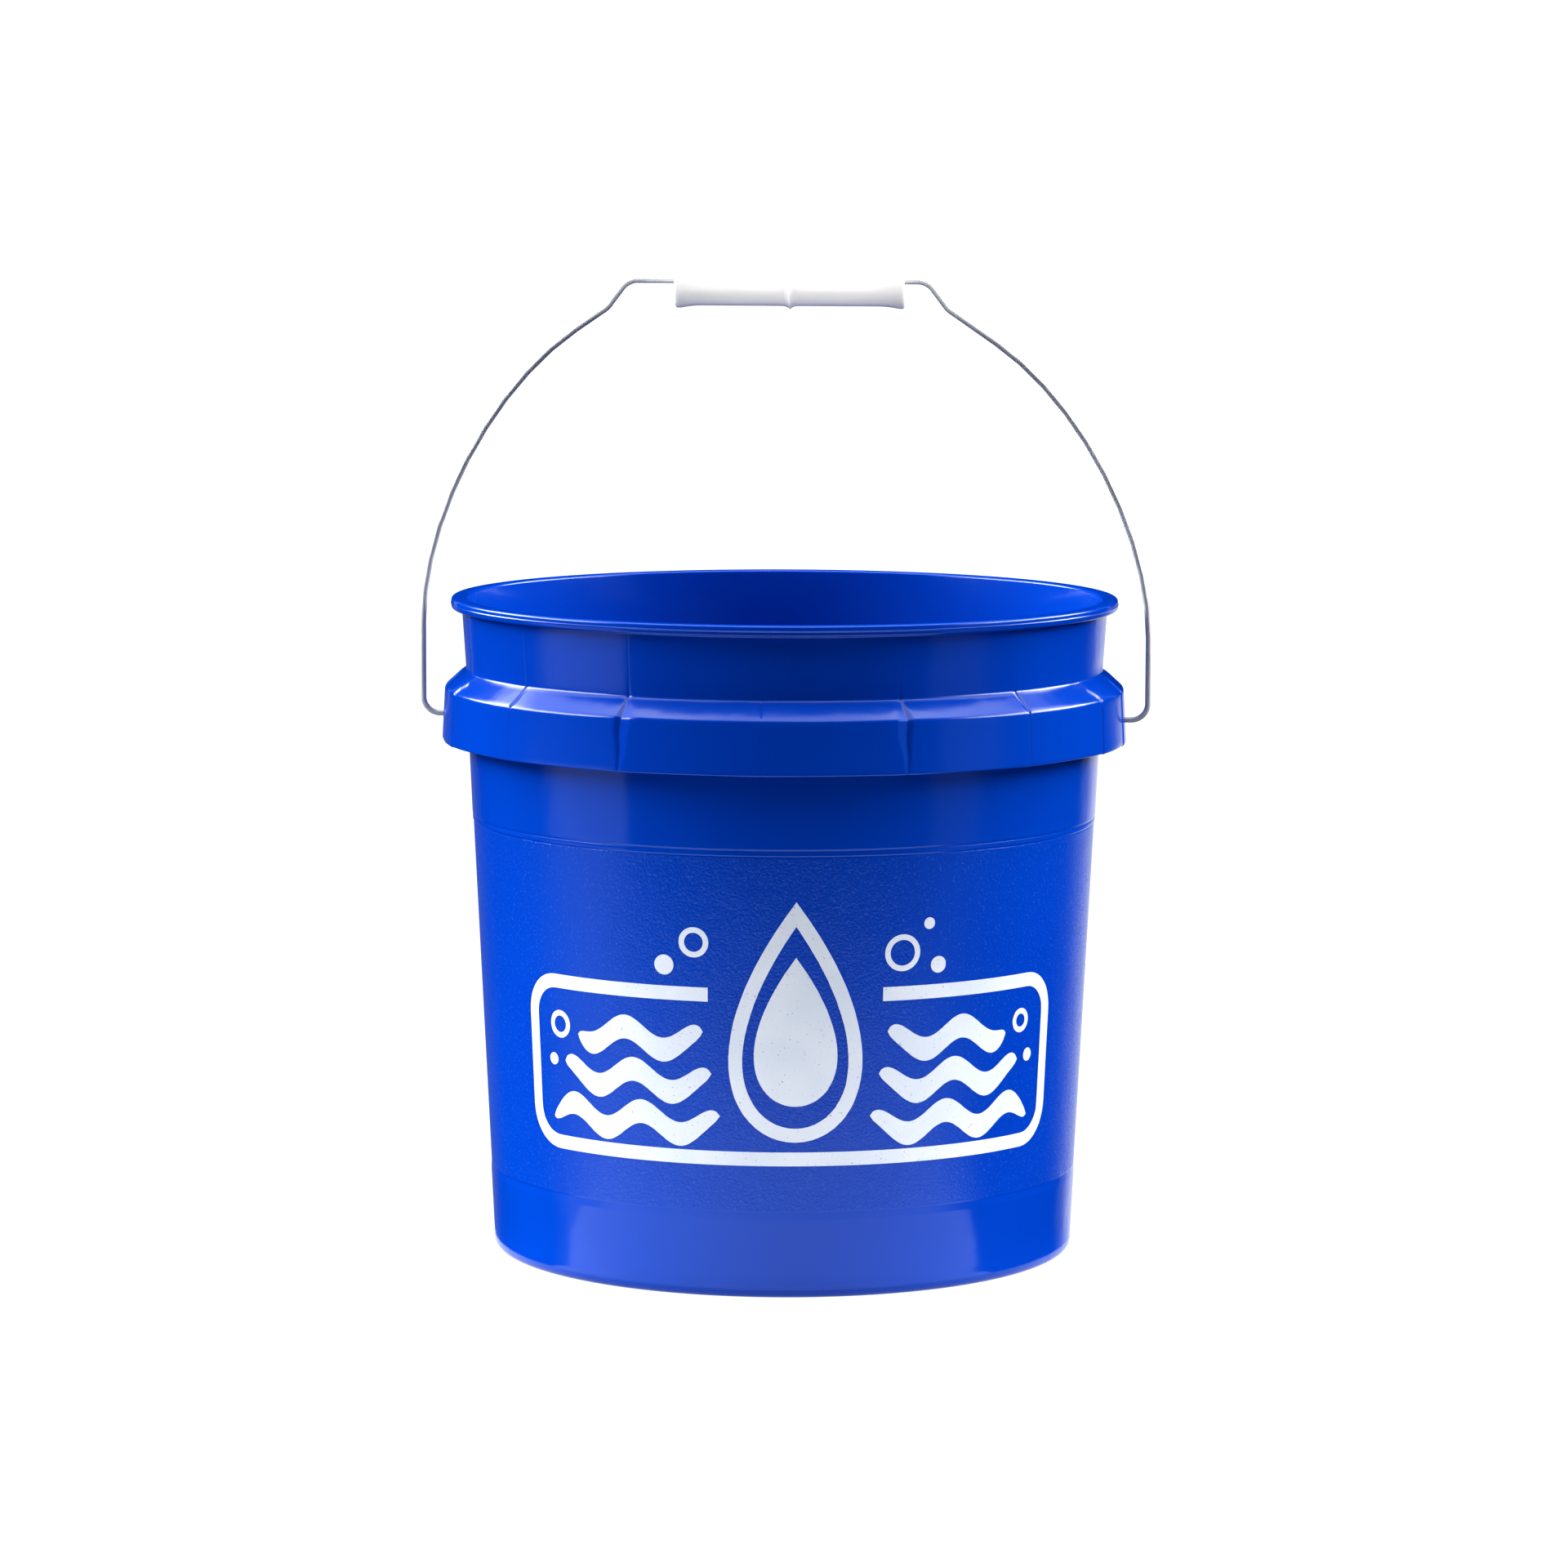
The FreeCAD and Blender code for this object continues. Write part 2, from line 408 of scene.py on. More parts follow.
def sunk(point):
    """How deep the skin has sunk at a point, in mm."""
    if not on_skin(point):
        return 0
    angle, radius = folded(point)
    depth = 0
    for mark, stations in grooves.items():
        half_width, deepest = station(point.z, stations)
        phase = point.z / wobble_length + mark + math.copysign(wobble_shift, point.x)
        wobble = groove_wobble * math.sin(phase)
        line = panel_line(mark, point.z)
        offset = math.radians(angle - line) * radius + wobble * (0.3 + half_width / (4 * mm))
        away = offset / steep_side if offset > 0 else -offset
        if away < half_width:
            eased = soft_step(half_width - away, 0, half_width / 6)
            depth += deepest * (1 - away / half_width) * eased
    dip = neck_dip if point.z > neck_foot.y else collar_dip
    for low, high in zip(mark_angles, mark_angles[1:]):
        if low < angle < high:
            depth += dip * math.sin(math.pi * (angle - low) / (high - low)) ** 2
    fade = 1 - soft_step(point.z, neck_top.y - 4 * mm, neck_top.y)
    return depth / mm * fade


def raised(point):
    """How far the ear's panel and pad stand out at a point, in mm."""
    if not on_skin(point) or point.z > neck_foot.y + mm:
        return 0
    angle, radius = folded(point)
    line = panel_line(mark_angles[-1], point.z)
    panel = soft_step(math.radians(angle - line) * radius, -0.4 * mm, 0.8 * mm)
    pad = 1 - soft_step(abs(point.y), ear_pad_half_width - 0.6 * mm, ear_pad_half_width + 0.6 * mm)
    fade = 1 - soft_step(point.z, neck_foot.y - 2 * mm, neck_foot.y + mm)
    return (panel_proud * panel + pad_proud * pad) * fade


def push(obj, name, weigh, strength):
    """Moves the skin along its normals by strength times the painted weight."""
    group = obj.vertex_groups.new(name=name)
    for vertex in obj.data.vertices:
        weight = weigh(vertex.co)
        if weight > 0:
            group.add([vertex.index], min(weight, 1), "REPLACE")
    apply_modifier(obj, "DISPLACE", strength=strength, mid_level=0, vertex_group=name)
    obj.vertex_groups.remove(obj.vertex_groups[name])


deepest = max(sunk(vertex.co) for vertex in pail.data.vertices)
push(pail, "sunk", sunk, -mm)
push(pail, "raised", raised, mm)
print("deepest mark, mm:", round(deepest, 2))

# %% [markdown]
# ## Ear holes
#
# The bail's ends hook through a hole in each side of the skirt. A hole that goes straight
# through a closed shell is what a Boolean modifier does best: one rod along the swing line
# cuts both.

# %% Drill the ears
wire_radius = 1.015 * mm
ear_hole_radius = wire_radius + 0.1 * mm

for side in (-1, 1):
    start()
    bpy.ops.mesh.primitive_cylinder_add(
        vertices=32, radius=ear_hole_radius, depth=8 * mm,
        location=(side * collar_bottom_radius, 0, pivot_height), rotation=(0, quarter_turn, 0))
    drill = bpy.context.object
    apply_modifier(pail, "BOOLEAN", operation="DIFFERENCE", solver="EXACT", object=drill)
    pick(drill)
    bpy.ops.object.delete()
pick(pail)
bpy.ops.object.shade_smooth_by_angle(angle=math.radians(30))
count_faces(pail)
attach(pail, "bucket")
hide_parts("bucket_shell")

# %% [markdown]
# ## Webs and ear bosses behind the skirt
#
# From below, the skirt is hollow. Thin upright webs join it to the wall, and a round boss
# thickens it where the bail turns. A web is a flat plate with four corners, so it is drawn as a
# chain, filled, given its thickness and copied round the pail. The boss is a short thick tube,
# spun about the swing line.

# %% One web, copied round
web_thickness = 1.4 * mm
web_bottom = 189.6 * mm
bite = 0.6 * mm


def close_and_fill(obj):
    """Joins the ends of a chain whose last point is its first, and fills it with a face."""
    edit_all(obj)
    bpy.ops.mesh.remove_doubles(threshold=0.001 * mm)
    bpy.ops.mesh.edge_face_add()
    done()


def turned_copy(obj, angle):
    """A copy with its own mesh, turned about the pail's axis by an angle in radians."""
    pick(obj)
    bpy.ops.object.duplicate(linked=False)
    copy = bpy.context.object
    edit_all(copy)
    bpy.ops.transform.rotate(value=-angle, orient_axis="Z", center_override=(0, 0, 0))
    done()
    return copy


def join(name, objs):
    """Makes one piece of several."""
    pick(*objs)
    bpy.ops.object.join()
    joined = bpy.context.object
    joined.name = joined.data.name = name
    return joined


web_outline = [
    (wall_at(web_bottom) - bite, web_bottom),
    (along(wall_at(web_bottom), collar_bottom_radius - wall, 0.5), web_bottom + 0.8 * mm),
    (collar_bottom_radius - wall + bite, web_bottom),
    (collar_top_radius - wall + bite, collar_top - 2 * mm),
    (wall_at(collar_top) + bite, neck_foot.y - 3.4 * mm),
    (wall_at(collar_top) - bite, neck_foot.y - 3.4 * mm),
]
web_points = [Vector((-web_thickness / 2, -radius, height)) for radius, height in web_outline]
web = draw_chain("web", web_points + web_points[:1])
close_and_fill(web)
edit_all(web)
bpy.ops.mesh.extrude_region_move(TRANSFORM_OT_translate={"value": (web_thickness, 0, 0)})
done()
outward(web)
apply_modifier(web, "BEVEL", width=0.25 * mm, segments=2, limit_method="ANGLE")
outward(web)

webs = []
for mark in mark_angles:
    for angle in sorted({mark, -mark, 180 - mark, mark - 180}):
        if angle > -180:
            webs.append(turned_copy(web, math.radians(angle)))
pick(web)
bpy.ops.object.delete()
collar_webs = join("collar_webs", webs)
print("webs:", len(webs))
count_faces(collar_webs)

# %% Ear bosses
boss_radius = 5.5 * mm
boss_inner = 121.3 * mm


def boss_chain(side):
    """Outline of one boss from bore to outside, at the left (-1) or right (1) ear."""
    bore, rim = pivot_height + ear_hole_radius, pivot_height + boss_radius
    inner, outer = boss_inner, collar_bottom_radius - wall + 0.4 * mm
    points = [Vector((side * x, 0, z)) for x, z in
              ((outer, bore), (inner, bore), (inner, rim), (outer, rim), (outer, bore))]
    chain = draw_chain("boss", points)
    round_corners(chain, points, [0, 0.25 * mm, 0.4 * mm, 0, 0])
    return chain


bosses = [boss_chain(side) for side in (-1, 1)]
ear_bosses = join("ear_bosses", bosses)
edit_all(ear_bosses)
bpy.ops.mesh.spin(steps=40, angle=math.tau, center=(0, 0, pivot_height), axis=(1, 0, 0))
done()
outward(ear_bosses)
count_faces(ear_bosses)
for piece in (collar_webs, ear_bosses):
    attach(piece, "bucket")

# %% [markdown]
# ## The bail
#
# The bail is one length of galvanised wire, bent cold: a straight top run that the grip hangs
# on, a step down on each side that keeps the grip in the middle, a straight fall, a long bow,
# a leg, and a hook through the ear. Its centre line is a chain of straight runs with a bend at
# each corner, and each bend gets its own radius, as in a bending jig. A curve then gives it
# its round section, and is made a mesh so that the cut ends can be filed.

# %% Bend the wire
wire_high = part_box("bail_wire")[1]
leg_x = wire_high.x - wire_radius
top_run = wire_high.z - wire_radius
hook_x = 118.6 * mm
hook_top = 203.4 * mm
step_drop = 10.0 * mm
step_run = 7.5 * mm
bow_slope = math.radians(34.6)
bends = {"step": 6.5 * mm, "bow": 130.0 * mm, "ear": 6.0 * mm, "hook": 2.4 * mm}


def bail_side(side, step_x):
    """Corners and bend radii of one side, from the top run down to the hooked end."""
    foot_x, foot_z = step_x + step_run, top_run - step_drop
    knee_z = foot_z - math.tan(bow_slope) * (leg_x - foot_x)
    route = [
        (step_x, top_run, bends["step"]), (foot_x, foot_z, bends["step"]),
        (leg_x, knee_z, bends["bow"]), (leg_x, pivot_height, bends["ear"]),
        (hook_x, pivot_height, bends["hook"]), (hook_x, hook_top, 0),
    ]
    return [(Vector((side * x, 0, z)), radius) for x, z, radius in route]


left = bail_side(-1, 57.5 * mm)
right = bail_side(1, 51.5 * mm)
route = left[::-1] + right
bail = draw_chain("bail", [point for point, _ in route])
round_corners(bail, [point for point, _ in route], [radius for _, radius in route], 6)
split_edges(bail, lambda middle: 6 * mm)

pick(bail)
bpy.ops.object.convert(target="CURVE")
bail.data.bevel_depth = wire_radius
bail.data.bevel_resolution = 4
bail.data.use_fill_caps = True
wire_length = sum(spline.calc_length() for spline in bail.data.splines)
bpy.ops.object.convert(target="MESH")
bail = bpy.context.object
outward(bail)
print("wire length, mm:", round(wire_length / mm, 1))

# %% File the cut ends
def on_cut_end(edge):
    """True for the sharp edge round each cut end of the wire."""
    ends = [bail.data.vertices[i].co for i in edge.vertices]
    return all(abs(end.z - hook_top) < 0.02 * mm and abs(abs(end.x) - hook_x) < 2 * wire_radius
               for end in ends)


edit(bail, on_cut_end, "EDGE")
bpy.ops.mesh.bevel(offset=0.18 * mm, segments=2, affect="EDGES")
done()
outward(bail)
count_faces(bail)
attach(bail, "bail")
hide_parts("bail_wire")

# %% [markdown]
# ## The grip
#
# The grip is a blow-moulded white tube, slid on the wire before the bends are made. It has
# flared ends, a thin rib round its middle where the two halves of its mould meet the core, and
# a bore much wider than the wire, so it hangs low and turns freely. It is an outline spun
# about the bore's own axis, which the frame gives as the joint's place.

# %% Spin the grip
grip_low, grip_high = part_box("bail_grip")
grip_axis = Vector(joints["grip_spin"]["pos_m"])
grip_length = grip_high.x - grip_low.x
grip_radius = 6.25 * mm
flare_radius = 7.05 * mm
flare_length = 7.0 * mm
end_land = 2.2 * mm
ring_radius = 7.4 * mm
ring_reach = 3.2 * mm
bore_radius = 3.9 * mm
bore_length_drawn = 8 * mm
ring_curve, flare_curve = 2.4, 1.8


def half_grip():
    """Distance from the middle, radius and rounding, from the rib's tip to inside the bore."""
    end = grip_length / 2
    ring = [(ring_reach * t, along(grip_radius, ring_radius, (1 - t) ** ring_curve), 0)
            for t in (0.1, 0.16, 0.24, 0.34, 0.46, 0.6, 0.78, 1)]
    flare_end = end - end_land
    flare = [(flare_end - flare_length * (1 - t),
              along(grip_radius, flare_radius, t ** flare_curve), 0)
             for t in (0, 0.2, 0.4, 0.6, 0.8, 1)]
    lip = [(end, flare_radius, 0.7 * mm), (end, bore_radius, 0.5 * mm),
           (end - bore_length_drawn, bore_radius, 0)]
    return ring + flare + lip


right_half = half_grip()
left_half = [(-x, radius, rounding) for x, radius, rounding in right_half[::-1]]
outline = left_half + [(0, ring_radius, 0)] + right_half
outline.append(outline[0])
grip_points = [Vector((grip_axis.x + x, 0, grip_axis.z + radius)) for x, radius, _ in outline]
grip = draw_chain("grip", grip_points)
round_corners(grip, grip_points, [rounding for _, _, rounding in outline])
split_edges(grip, lambda middle: 5 * mm)
edit_all(grip)
bpy.ops.mesh.spin(steps=72, angle=math.tau, center=grip_axis, axis=(1, 0, 0))
done()
outward(grip, 40)
count_faces(grip)
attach(grip, "grip")
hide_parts("bail_grip")

# %% [markdown]
# ## The print
#
# A pad print in pale ink runs over the front of the wall: here a rounded frame with waves,
# bubbles and a water drop, which suits a wash bucket. Ink is a real layer with an edge, so it is
# made as thin plates. They are drawn flat, at their length along the wall, then bent round the
# pail by a Simple Deform, laid on the taper by a Shrinkwrap and thickened.

# %% Draw the print flat
print_half_length = 110 * mm
print_low, print_high = 47.5 * mm, 111 * mm
frame_line = 5.0 * mm
frame_corner = 15 * mm
drop_gap = 31 * mm
drop_centre = 99 * mm
drop_half_width, drop_half_height = 31 * mm, 43 * mm
heart_scale, heart_drop = 0.62, 9 * mm


def flat(x, z):
    """A point of the flat print: x along the wall, z above the foot."""
    return Vector((x, 0, z))


def plate(name, points, roundings=None, turn_per_edge=9):
    """A filled flat face with these corners."""
    closed = points + points[:1]
    made = draw_chain(name, closed)
    if roundings:
        round_corners(made, closed, roundings, turn_per_edge)
    close_and_fill(made)
    return made


def hollow(obj, line):
    """Leaves only a line of this width along the edge of a filled face."""
    edit_all(obj)
    bpy.ops.mesh.inset(thickness=line, use_even_offset=True)
    bpy.ops.mesh.delete(type="FACE")
    done()


def cut_upright(obj, x):
    """Cuts every face along the upright line at x."""
    edit_all(obj)
    bpy.ops.mesh.bisect(plane_co=(x, 0, 0), plane_no=(1, 0, 0))
    done()


def drop_outline(scale):
    """A water drop: a circle drawn up to a point, with no short edges beside the point."""
    turns = [math.tau * k / 64 for k in range(64) if k == 0 or 5 <= k <= 59]
    centre = drop_centre - (1 - scale) * heart_drop
    return [flat(scale * drop_half_width * math.sin(t) * math.sin(t / 2),
                 centre + scale * drop_half_height * math.cos(t)) for t in turns]


half = print_half_length
frame_points = [flat(-drop_gap * 1.5, print_low), flat(half, print_low), flat(half, print_high),
                flat(-half, print_high), flat(-half, print_low)]
border = plate("border", frame_points, [0] + [frame_corner] * 4 + [0])
hollow(border, frame_line)
for x in (-drop_gap, drop_gap):
    cut_upright(border, x)
frame_middle = (print_low + print_high) / 2
edit(border, lambda face: abs(face.center.x) < drop_gap and face.center.z > frame_middle, "FACE")
bpy.ops.mesh.delete(type="FACE")
done()

drop_ring = plate("drop_ring", drop_outline(1.0))
hollow(drop_ring, frame_line)
drop_heart = plate("drop_heart", drop_outline(heart_scale))
prints = [border, drop_ring, drop_heart]
print("frame, drop and heart:", [len(obj.data.vertices) for obj in prints])

# %% Waves and bubbles
wave_length = 30 * mm
wave_height = 3.6 * mm
wave_half_line = 4.3 * mm


def wave_outline(inner_x, outer_x, height):
    """A band that swings like water and runs to a point at both ends."""
    steps = 60
    upper, lower = [], []
    for k in range(steps + 1):
        t = k / steps
        x = along(inner_x, outer_x, t)
        middle = height + wave_height * math.cos(math.tau * (x - inner_x) / wave_length)
        half_line = wave_half_line * (1 - (2 * t - 1) ** 8) ** 0.7
        upper.append(flat(x, middle + half_line))
        lower.append(flat(x, middle - half_line))
    return lower + upper[-2:0:-1]


# from where, to where and how high each row of waves runs, in mm
wave_rows = [(27, 98, 61.5), (30, 91, 76.5), (33, 84, 91.5)]
for side in (-1, 1):
    for inner, outer, height in wave_rows:
        outline = wave_outline(side * inner * mm, side * outer * mm, height * mm)
        prints.append(plate("wave", outline))


def bubble(x, z, radius, line=None):
    """A round spot of ink, or a ring when it has a line width."""
    start()
    bpy.ops.mesh.primitive_circle_add(vertices=40, radius=radius, fill_type="NGON",
                                      location=(x, 0, z), rotation=(quarter_turn, 0, 0))
    made = bpy.context.object
    bpy.ops.object.transform_apply(location=True, rotation=True)
    if line:
        hollow(made, line)
    return made


# place along the wall, height and radius of each bubble, in mm
rings = [(38, 123, 6.6), (-36, 127, 5.4), (92, 94, 4.4), (-93, 93, 5.0)]
spots = [(52, 118, 3.0), (-47, 118.5, 3.6), (48, 133, 2.1), (-97, 80, 2.2), (97, 81, 2.4)]
ring_line = 2.0 * mm
prints += [bubble(x * mm, z * mm, radius * mm, ring_line) for x, z, radius in rings]
prints += [bubble(x * mm, z * mm, radius * mm) for x, z, radius in spots]
mark = join("print", prints)
print("plates of ink:", len(prints))

# %% Bend the print round the wall
print_turn = math.radians(6.0)
bend_height = 95 * mm
bend_radius = wall_at(bend_height)
lift = 4 * mm
ink_gap, ink_thickness = 0.03 * mm, 0.05 * mm
slice_width = 3 * mm

edit(mark, lambda face: face.normal.y > 0, "FACE")
bpy.ops.mesh.flip_normals()
done()
cuts = math.ceil(2 * print_half_length / slice_width)
for k in range(1, cuts):
    cut_upright(mark, along(-print_half_length, print_half_length, k / cuts))
apply_modifier(mark, "SIMPLE_DEFORM", deform_method="BEND", deform_axis="Z",
               angle=2 * print_half_length / bend_radius)
bent_box = (*mark.bound_box[0], *mark.bound_box[6])
print("bent box, mm:", [round(v / mm, 1) for v in bent_box])
edit_all(mark)
bpy.ops.transform.translate(value=(0, -bend_radius, 0))
bpy.ops.transform.rotate(value=-print_turn, orient_axis="Z", center_override=(0, 0, 0))
outside = (bend_radius + lift) / bend_radius
bpy.ops.transform.resize(value=(outside, outside, 1), center_override=(0, 0, 0))
done()
apply_modifier(mark, "SHRINKWRAP", target=pail, wrap_method="NEAREST_SURFACEPOINT",
               wrap_mode="ABOVE_SURFACE", offset=ink_gap)
apply_modifier(mark, "SOLIDIFY", thickness=ink_thickness, offset=1)
outward(mark)
radii = [vertex.co.xy.length - wall_at(vertex.co.z) for vertex in mark.data.vertices]
print("ink above the taper, mm:", round(min(radii) / mm, 3), round(max(radii) / mm, 3))
count_faces(mark)
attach(mark, "bucket")

# %% [markdown]
# ## Shader maths as expressions
#
# A material here is a small tree of nodes. Wiring each one by hand hides the idea, so one
# class holds an output socket and turns +, -, * and ** into Math nodes. A second one owns
# the tree, and makes any other node from its type, its settings and what goes into its sockets.

# %% Two small classes for materials
class Signal:
    """An output socket whose value can be used in sums."""

    def __init__(self, finish, socket):
        self.finish = finish
        self.socket = socket

    def maths(self, operation, *values):
        inputs = dict(enumerate(values))
        return self.finish.node("ShaderNodeMath", {"operation": operation}, inputs)

    def __add__(self, other):
        return self.maths("ADD", self, other)

    def __sub__(self, other):
        return self.maths("SUBTRACT", self, other)

    def __mul__(self, other):
        return self.maths("MULTIPLY", self, other)

    def __pow__(self, other):
        return self.maths("POWER", self, other)

    def __rsub__(self, other):
        return self.maths("SUBTRACT", other, self)

    __radd__ = __add__
    __rmul__ = __mul__

    def smooth(self, low, high):
        """0 below low, 1 above high, smooth between."""
        settings = {"interpolation_type": "SMOOTHSTEP"}
        return self.finish.node("ShaderNodeMapRange", settings,
                                {"Value": self, "From Min": low, "From Max": high})


class Finish:
    """A tree of shader nodes: a material's, or the world's."""

    def __init__(self, tree):
        self.tree = tree
        tree.nodes.clear()

    def node(self, kind, settings=None, inputs=None, output=0):
        """Any node: its type, its settings, what goes into its sockets, and the output wanted."""
        made = self.tree.nodes.new(kind)
        for name, value in (settings or {}).items():
            setattr(made, name, value)
        for name, value in (inputs or {}).items():
            if isinstance(value, Signal):
                self.tree.links.new(value.socket, made.inputs[name])
            else:
                made.inputs[name].default_value = value
        return Signal(self, made.outputs[output]) if made.outputs else None

    def place(self):
        """Object coordinates, in metres from the foot's centre."""
        return self.node("ShaderNodeTexCoord", output="Object")

    def axis(self, vector, name):
        """X, Y or Z of a vector or a colour."""
        return self.node("ShaderNodeSeparateXYZ", inputs={"Vector": vector}, output=name)

    def noise(self, scale, detail=3.0, roughness=0.5, vector=None):
        """Soft random grey about 0.5; scale is in lumps per metre."""
        inputs = {"Vector": vector or self.place(), "Scale": scale, "Detail": detail,
                  "Roughness": roughness}
        return self.node("ShaderNodeTexNoise", inputs=inputs)

    def mix(self, factor, low, high):
        """One colour over another."""
        inputs = {"Factor": factor, 6: low, 7: high}
        return self.node("ShaderNodeMix", {"data_type": "RGBA"}, inputs, output=2)

    def bump(self, height, distance, under=None):
        """A normal from a height in units of distance, over another normal if there is one."""
        inputs = {"Height": height, "Distance": distance, "Strength": 1.0}
        if under:
            inputs["Normal"] = under
        return self.node("ShaderNodeBump", inputs=inputs)

    def plastic(self, **inputs):
        """The Principled shader, with its sockets' names in plain form."""
        named = {name.replace("_", " "): value for name, value in inputs.items()}
        shader = self.node("ShaderNodeBsdfPrincipled", inputs=named)
        self.node("ShaderNodeOutputMaterial", inputs={"Surface": shader})


def new_finish(name, *pieces):
    """A new material on these pieces, with an empty tree."""
    material = bpy.data.materials.new(name)
    material.use_nodes = True
    for piece in pieces:
        piece.data.materials.clear()
        piece.data.materials.append(material)
    return Finish(material.node_tree)


# %% [markdown]
# ## Blue polyethylene
#
# The pail is glossy where the mould was polished: inside, the neck, the collar and the band at
# the foot. Between the two steps in the wall the mould was etched, and the skin there has a
# fine pebble, a little rougher on its peaks, and its peaks are painted a little paler as a
# painted highlight, small glints of light. Real moulded plastic is never quite even, so slow
# noise moves its colour and its gloss a little, and light scuffs run round it.

# %% Blue polyethylene
blue = (0.0, 0.044, 0.345, 1)
deep_blue = (0.0, 0.039, 0.322, 1)
# colour of the painted highlight: glints painted on the peaks of the etched pebble
glint_blue = (0.06, 0.14, 0.48, 1)

finish = new_finish("blue_polyethylene", pail, collar_webs, ear_bosses)
place = finish.place()
height = finish.axis(place, "Z")
across, deep = finish.axis(place, "X"), finish.axis(place, "Y")
radius = (across * across + deep * deep) ** 0.5
outer_side = (radius - height * draft).smooth(foot_radius - 1.2 * mm, foot_radius - 0.8 * mm)
etched = (height.smooth(step_height, step_height + 0.6 * mm)
          * (1 - height.smooth(lines_height - 0.6 * mm, lines_height)) * outer_side)

slow = finish.noise(9, 2)
pebble = finish.noise(1100, 2, 0.6)
ripple = finish.noise(60, 2)
scuff_space = finish.node("ShaderNodeMapping", inputs={"Vector": place, "Scale": (1, 1, 14)})
scuffs = finish.noise(55, 4, 0.7, scuff_space).smooth(0.62, 0.8)

gloss_rough, etched_rough = 0.14, 0.19
uneven_rough, scuff_rough, pebble_rough = 0.06, 0.06, 0.12
ripple_height, pebble_height = 0.25 * mm, 0.2 * mm
# how far the painted glints on the pebble's peaks lighten the blue
glint_strength = 0.22
roughness = (gloss_rough + etched * (etched_rough - gloss_rough) + (slow - 0.5) * uneven_rough
             + scuffs * scuff_rough + (pebble - 0.5) * etched * pebble_rough)
ripple_normal = finish.bump(ripple, ripple_height)
pebble_normal = finish.bump(pebble * etched, pebble_height, under=ripple_normal)
even_blue = finish.mix(slow.smooth(0.3, 0.7), blue, deep_blue)
# painted highlight: the pebble's peaks in the etched band are painted paler, as glints of light
painted_glint_peaks = pebble.smooth(0.56, 0.72) * etched * glint_strength
finish.plastic(
    Base_Color=finish.mix(painted_glint_peaks, even_blue, glint_blue),
    Roughness=roughness,
    Normal=pebble_normal,
    Specular_IOR_Level=0.28,
)

# %% [markdown]
# ## Ink, zinc and white plastic
#
# The ink lies over the pebble, so it has a pebble of its own and a few pinholes that let the
# blue through. Galvanised wire has a dull, spangled skin of zinc. As a full metal it would
# mirror the dark front of this room, so it is mostly a grey skin with some metal in it. The
# white grip is satin, a little warm, and greyer in places where hands and water have been.

# %% Print ink
finish = new_finish("print_ink", mark)
pebble = finish.noise(1500, 2, 0.6)
pinholes = finish.noise(1100, 1).smooth(0.70, 0.76)
slow = finish.noise(40, 2)
ink_pale, ink_thin = (0.54, 0.58, 0.66, 1), (0.49, 0.54, 0.63, 1)
ink_colour = finish.mix(slow.smooth(0.35, 0.7), ink_pale, ink_thin)
pinhole_depth = 0.5
finish.plastic(
    Base_Color=finish.mix(pinholes * pinhole_depth, ink_colour, deep_blue),
    Roughness=0.42 + (slow - 0.5) * 0.1,
    Normal=finish.bump(pebble, 0.10 * mm),
    Specular_IOR_Level=0.4,
)

# %% Galvanised wire
finish = new_finish("galvanised_wire", bail)
spangle = finish.node("ShaderNodeTexVoronoi", inputs={"Vector": finish.place(), "Scale": 420.0},
                      output="Color")
spangle_grey = finish.axis(spangle, "X")
tarnish = finish.noise(70, 4, 0.6)
zinc, dull_zinc = (0.39, 0.395, 0.41, 1), (0.35, 0.355, 0.375, 1)
dullness = (tarnish + (spangle_grey - 0.5) * 0.15).smooth(0.3, 0.75)
finish.plastic(
    Base_Color=finish.mix(dullness, zinc, dull_zinc),
    Metallic=0.25 + tarnish * 0.15,
    Roughness=0.45 + tarnish * 0.14 + spangle_grey * 0.04,
    Normal=finish.bump(finish.noise(900, 1), 0.004 * mm),
)

# %% White polyethylene
finish = new_finish("white_polyethylene", grip)
slow = finish.noise(60, 3)
grain = finish.noise(900, 3)
white, shade = (0.50, 0.492, 0.482, 1), (0.48, 0.472, 0.462, 1)
finish.plastic(
    Base_Color=finish.mix(slow.smooth(0.4, 0.75), white, shade),
    Roughness=0.36 + (slow - 0.5) * 0.12,
    Normal=finish.bump(grain, 0.03 * mm),
    Specular_IOR_Level=0.12,
    Subsurface_Weight=0.7,
    Subsurface_Radius=(1.0, 1.0, 1.0),
    Subsurface_Scale=4 * mm,
)

# %% [markdown]
# ## Floor and light
#
# The pail stands on a small turntable, and an oval light table lies before it, in a room with
# soft lamps at both sides. Both glow faintly so that they stay white. The light table is
# brighter: the lower wall mirrors it, while the sides mirror the dark of the room. The lamps are
# painted into the world's own shader, by direction: one from the left and one from the right,
# both reaching round to the back, a soft one overhead, and faint panels below the horizon that
# give the wall its upright sheen. The camera itself sees an even white behind the pail. One
# narrow lamp lifts the grip.

# %% Turntable and light table
def glowing_plate(name, half_width, half_depth, centre, glow, thickness=3 * mm):
    """An oval plate with its top at the height of centre, white in any light."""
    start()
    bpy.ops.mesh.primitive_cylinder_add(vertices=128, radius=1, depth=thickness)
    top = bpy.context.object
    top.name = top.data.name = name
    edit_all(top)
    bpy.ops.transform.resize(value=(half_width, half_depth, 1))
    bpy.ops.transform.translate(value=centre - Vector((0, 0, thickness / 2)))
    done()
    finish = new_finish(name, top)
    cloud = finish.noise(6, 2)
    finish.plastic(
        Base_Color=finish.mix(cloud, plate_grey, plate_shade),
        Roughness=0.6 + cloud * 0.05,
        Specular_IOR_Level=0.2,
        Emission_Color=(1, 1, 1, 1),
        Emission_Strength=glow,
    )


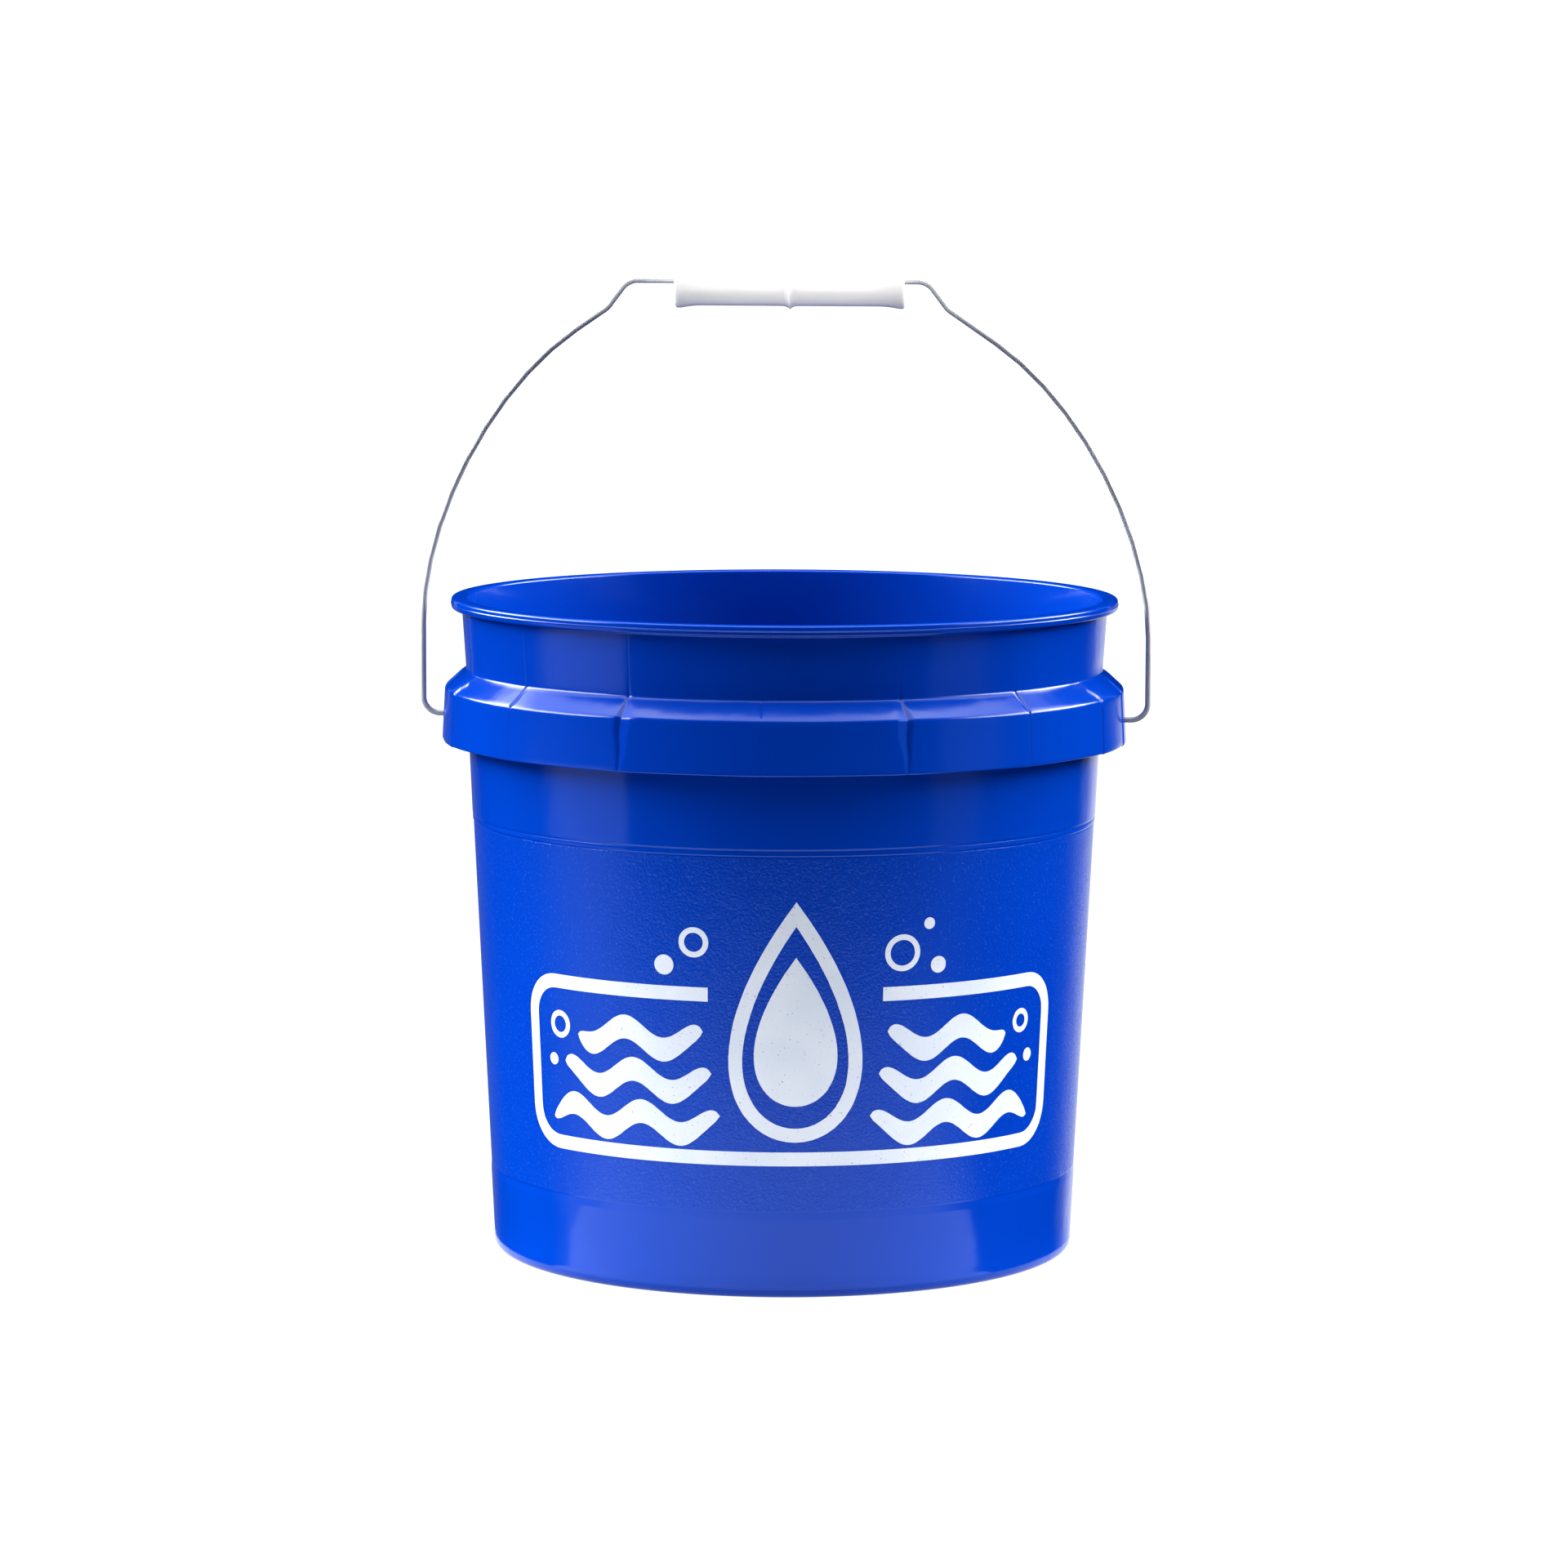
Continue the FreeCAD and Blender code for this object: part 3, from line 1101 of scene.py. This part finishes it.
plate_grey, plate_shade = (0.13, 0.13, 0.13, 1), (0.11, 0.11, 0.11, 1)
turntable_glow, table_glow = 0.85, 1.55
turntable_radius = 114 * mm
table_half_width, table_half_depth, table_gap = 310 * mm, 200 * mm, 60 * mm
glowing_plate("turntable", turntable_radius, turntable_radius, Vector((0, 0, 0)), turntable_glow)
glowing_plate("light_table", table_half_width, table_half_depth,
              Vector((0, -table_half_depth - table_gap, -mm)), table_glow)

# %% Room
room = bpy.data.worlds.new("lamp_room")
bpy.context.scene.world = room
room.use_nodes = True
finish = Finish(room.node_tree)
look = finish.node("ShaderNodeTexCoord", output="Generated")
right, away, up = (finish.axis(look, name) for name in "XYZ")
to_degrees = 180 / math.pi
bearing = right.maths("ARCTAN2", right, away * -1) * to_degrees
elevation = up.maths("ARCSINE", up) * to_degrees

left_power, right_power, zenith_power = 19.0, 18.0, 3.7
left_sheen, right_sheen, left_back_sheen, right_back_sheen = 1.0, 0.3, 0.16, 0.9
upper_loss = 0.86
upper_half = 1 - elevation.smooth(26, 44) * upper_loss
lamp_band = elevation.smooth(8, 20) * upper_half * (1 - elevation.smooth(64, 84))
left_lamp = bearing.smooth(-144, -124) * (1 - bearing.smooth(-74, -56))
right_lamp = bearing.smooth(64, 88) * (1 - bearing.smooth(126, 144))
zenith = elevation.smooth(45, 72) * zenith_power
below = 1 - elevation.smooth(-8, -1)
left_panel = bearing.smooth(-98, -84) * (1 - bearing.smooth(-57, -55)) * below
right_panel = bearing.smooth(56, 62) * (1 - bearing.smooth(74, 86)) * (1 - elevation.smooth(5, 9))
left_behind = (1 - bearing.smooth(-165, -140)) * left_back_sheen
right_behind = bearing.smooth(140, 165) * right_back_sheen
lamps = lamp_band * (left_lamp * left_power + right_lamp * right_power)
panels = left_panel * left_sheen + right_panel * right_sheen
light = lamps + zenith + panels + (left_behind + right_behind) * below
seen = finish.node("ShaderNodeLightPath", output="Is Camera Ray")
strength = light * (1 - seen) + seen
background = finish.node("ShaderNodeBackground",
                         inputs={"Color": (1, 1, 1, 1), "Strength": strength})
finish.node("ShaderNodeOutputWorld", inputs={"Surface": background})


# %% Grip lamp
def snoot(name, place, aim, cone_degrees, watts, radius=0.03):
    """A narrow lamp that lights one small thing only."""
    start()
    bpy.ops.object.light_add(type="SPOT", location=place)
    lamp = bpy.context.object
    lamp.name = lamp.data.name = name
    lamp.data.energy = watts
    lamp.data.spot_size = math.radians(cone_degrees)
    lamp.data.spot_blend = 0.6
    lamp.data.shadow_soft_size = radius
    lamp.rotation_euler = (aim - place).to_track_quat("-Z", "Y").to_euler()


grip_middle = (grip_low + grip_high) / 2
lamp_place = grip_middle + Vector((0.1, -1.5, 0.0))
grip_cone, grip_watts = 5, 105
snoot("grip_lamp", lamp_place, grip_middle, grip_cone, grip_watts)

# %% [markdown]
# ## Camera
#
# A long lens from a little above the rim, turned slightly to the pail's right, so that the far
# ear stands a little higher than the near one.

# %% Camera
camera_turn = math.radians(3.7)
camera_distance = 2.1156
camera_height = 0.4212
camera_pitch = 0.1181
camera_roll = 0.0036
lens_length, sensor_width = 133.2, 36
camera_x = camera_distance * math.sin(camera_turn)
camera_y = -camera_distance * math.cos(camera_turn)
bpy.ops.object.camera_add(location=(camera_x, camera_y, camera_height),
                          rotation=(quarter_turn - camera_pitch, 0, camera_turn))
camera = bpy.context.object
camera.rotation_euler.rotate_axis("Z", camera_roll)
camera.data.lens = lens_length
camera.data.sensor_width = sensor_width
bpy.context.scene.camera = camera
bpy.context.scene.view_settings.view_transform = "Standard"
bpy.context.scene.view_settings.look = "Medium High Contrast"
print("camera, m:", [round(v, 3) for v in camera.location])
